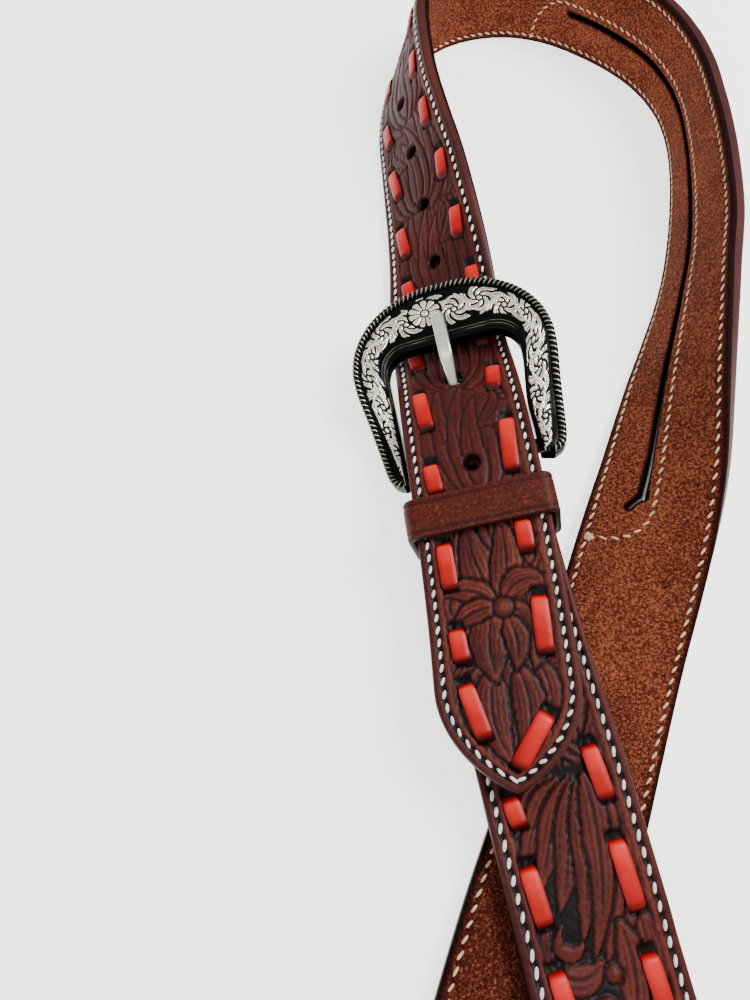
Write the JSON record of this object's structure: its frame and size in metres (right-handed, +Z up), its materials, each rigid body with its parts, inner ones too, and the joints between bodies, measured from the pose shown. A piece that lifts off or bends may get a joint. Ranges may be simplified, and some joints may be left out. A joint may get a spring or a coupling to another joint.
{
  "type": "split-ear western headstall",
  "caption": "Western split-ear headstall of tooled, laced leather with an engraved buckle, laid down in a loose loop.",
  "frame": {"origin": "middle of the model's box on the surface it lies on", "axes": "+Y from the bit ends towards the top of the loop, +Z up off the surface, +X to the right"},
  "size_m": [0.1164, 0.5096, 0.0321],
  "materials": {
    "tooled_leather": "burnished, hand tooled",
    "flesh_leather": "rough suede",
    "keeper_leather": "satin",
    "red_lace": "glossy",
    "face_thread": "waxed thread",
    "flesh_thread": "waxed thread",
    "buckle_silver": "engraved, blackened ground",
    "tongue_silver": "polished",
    "screw_metal": "satin"
  },
  "bodies": {
    "straps": {"crown_face": "tooled_leather", "crown_lining": "flesh_leather", "crown_stitching": "face_thread", "ear_slit_stitching": "flesh_thread", "crown_lace_left": "red_lace", "crown_lace_right": "red_lace", "cheek_face": "tooled_leather", "cheek_lining": "flesh_leather", "cheek_stitching": "face_thread", "cheek_lace_left": "red_lace", "cheek_lace_right": "red_lace", "crown_bit_screw_1_post": "screw_metal", "crown_bit_screw_1_screw": "screw_metal", "crown_bit_screw_2_post": "screw_metal", "crown_bit_screw_2_screw": "screw_metal", "cheek_bit_screw_1_post": "screw_metal", "cheek_bit_screw_1_screw": "screw_metal", "cheek_bit_screw_2_post": "screw_metal", "cheek_bit_screw_2_screw": "screw_metal"},
    "buckle": {"buckle_frame": "buckle_silver"},
    "tongue": {"buckle_tongue": "tongue_silver"},
    "keeper": {"keeper": "keeper_leather"}
  },
  "joints": [
    {"name": "buckle_tilt", "type": "hinge", "parent": "straps", "child": "buckle", "pos_m": [-0.02002, 0.06594, 0.01042], "axis": [0.9596, 0.1434, 0.2419], "range_deg": [0, 4]},
    {"name": "tongue_swing", "type": "hinge", "parent": "buckle", "child": "tongue", "pos_m": [-0.02002, 0.06594, 0.01042], "axis": [0.9596, 0.1434, 0.2419], "range_deg": [0, 5]},
    {"name": "keeper_slide", "type": "slide", "parent": "straps", "child": "keeper", "axis": [0.1527, -0.9861, -0.0649], "range_m": [-0.002, 0.003]}
  ]
}
